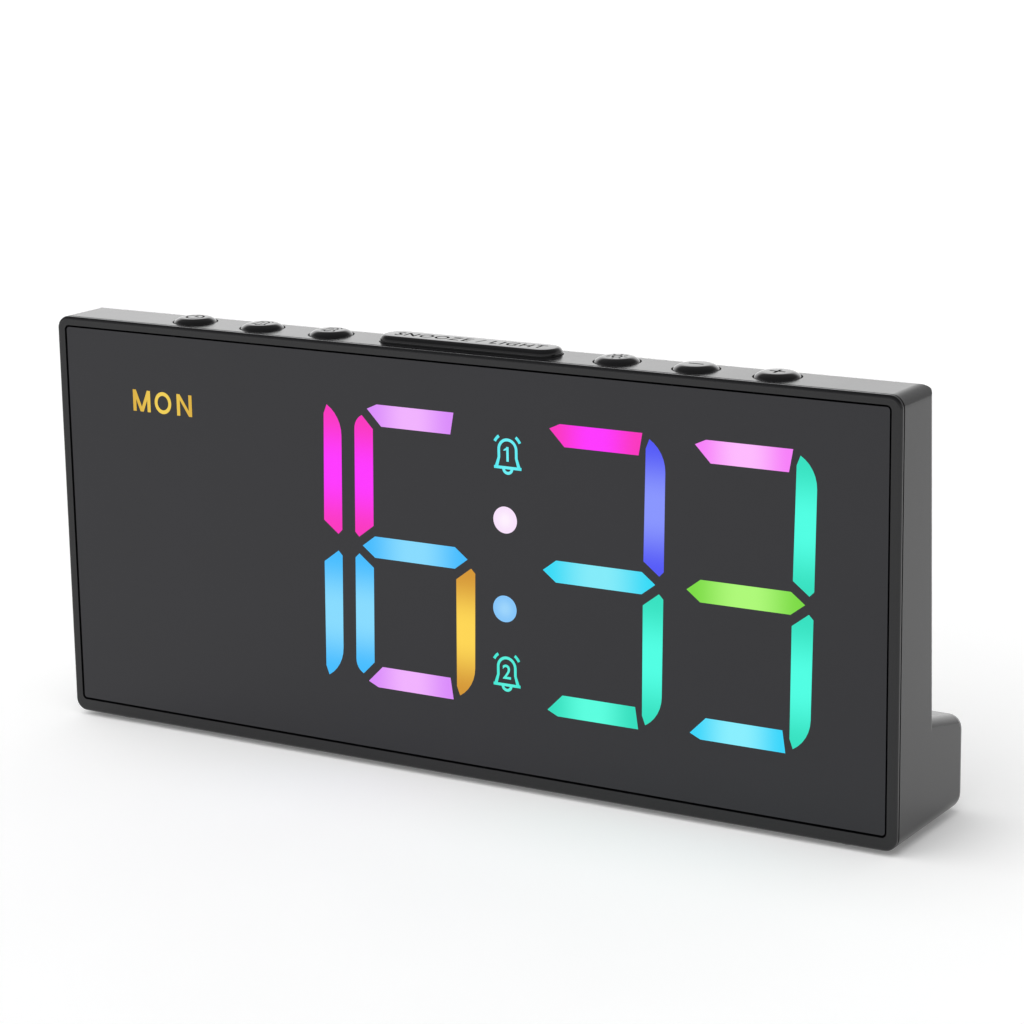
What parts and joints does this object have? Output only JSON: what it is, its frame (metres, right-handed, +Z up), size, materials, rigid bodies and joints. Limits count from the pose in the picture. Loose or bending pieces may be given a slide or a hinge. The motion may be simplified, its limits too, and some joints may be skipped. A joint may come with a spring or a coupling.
{
  "type": "digital alarm clock",
  "caption": "Slim desk alarm clock with an L-shaped housing, a flush dark segment display, round keys and a snooze bar on top.",
  "frame": {"origin": "on the table under the middle of the clock", "axes": "+X to the right seen from the front, +Y to the rear, +Z up"},
  "size_m": [0.184, 0.0304, 0.0845],
  "materials": {
    "housing_plastic": "fine satin moulded ABS",
    "panel_plastic": "smooth satin dark faceplate",
    "segment_lens": "smoked diffuser, dark when unlit",
    "key_plastic": "polished black",
    "rubber": "matte",
    "white_plastic": "white reflector",
    "lamp_resin": "clear resin",
    "circuit_board": "green solder mask",
    "chip_resin": "black moulded resin",
    "steel": "plated steel",
    "contact_brass": "plated spring brass",
    "cable_plastic": "plain insulation"
  },
  "bodies": {
    "clock": {"front_frame": "housing_plastic", "rear_housing": "housing_plastic", "display_panel": "panel_plastic", "hour_tens_segments": "segment_lens", "hour_units_segments": "segment_lens", "minute_tens_segments": "segment_lens", "minute_units_segments": "segment_lens", "colon_dots": "segment_lens", "light_box": "white_plastic", "segment_leds": "lamp_resin", "display_board": "circuit_board", "key_board": "circuit_board", "main_board": "circuit_board", "driver_chip": "chip_resin", "clock_chip": "chip_resin", "pin_header": "chip_resin", "buzzer": "chip_resin", "key_switches": "chip_resin", "display_screws": "steel", "housing_screws": "steel", "key_screws": "steel", "main_screws": "steel", "quartz_crystal": "steel", "power_inlet": "steel", "coin_cell": "steel", "cell_spring": "contact_brass", "cell_clip": "contact_brass", "key_ribbon": "cable_plastic", "battery_leads": "cable_plastic", "rubber_feet": "rubber"},
    "time_key": {"time_button": "key_plastic", "time_plunger": "chip_resin"},
    "alarm_1_key": {"alarm_1_button": "key_plastic", "alarm_1_plunger": "chip_resin"},
    "alarm_2_key": {"alarm_2_button": "key_plastic", "alarm_2_plunger": "chip_resin"},
    "light_key": {"light_button": "key_plastic", "light_plunger": "chip_resin"},
    "minus_key": {"minus_button": "key_plastic", "minus_plunger": "chip_resin"},
    "plus_key": {"plus_button": "key_plastic", "plus_plunger": "chip_resin"},
    "snooze_key": {"snooze_bar": "key_plastic", "snooze_plungers": "chip_resin"},
    "cap": {"battery_cap": "housing_plastic"}
  },
  "joints": [
    {"name": "time_press", "type": "slide", "parent": "clock", "child": "time_key", "axis": [0, 0, -1], "range_m": [0, 0.0005], "stiffness_N_per_m": 2000, "springref_m": -0.0003},
    {"name": "alarm_1_press", "type": "slide", "parent": "clock", "child": "alarm_1_key", "axis": [0, 0, -1], "range_m": [0, 0.0005], "stiffness_N_per_m": 2000, "springref_m": -0.0003},
    {"name": "alarm_2_press", "type": "slide", "parent": "clock", "child": "alarm_2_key", "axis": [0, 0, -1], "range_m": [0, 0.0005], "stiffness_N_per_m": 2000, "springref_m": -0.0003},
    {"name": "light_press", "type": "slide", "parent": "clock", "child": "light_key", "axis": [0, 0, -1], "range_m": [0, 0.0005], "stiffness_N_per_m": 2000, "springref_m": -0.0003},
    {"name": "minus_press", "type": "slide", "parent": "clock", "child": "minus_key", "axis": [0, 0, -1], "range_m": [0, 0.0005], "stiffness_N_per_m": 2000, "springref_m": -0.0003},
    {"name": "plus_press", "type": "slide", "parent": "clock", "child": "plus_key", "axis": [0, 0, -1], "range_m": [0, 0.0005], "stiffness_N_per_m": 2000, "springref_m": -0.0003},
    {"name": "snooze_press", "type": "slide", "parent": "clock", "child": "snooze_key", "axis": [0, 0, -1], "range_m": [0, 0.0005], "stiffness_N_per_m": 3000, "springref_m": -0.0003},
    {"name": "cap_turn", "type": "hinge", "parent": "clock", "child": "cap", "pos_m": [-0.045, 0.00015, 0.0395], "axis": [0, 0.9993, 0.0366], "range_deg": [0, 45]}
  ]
}
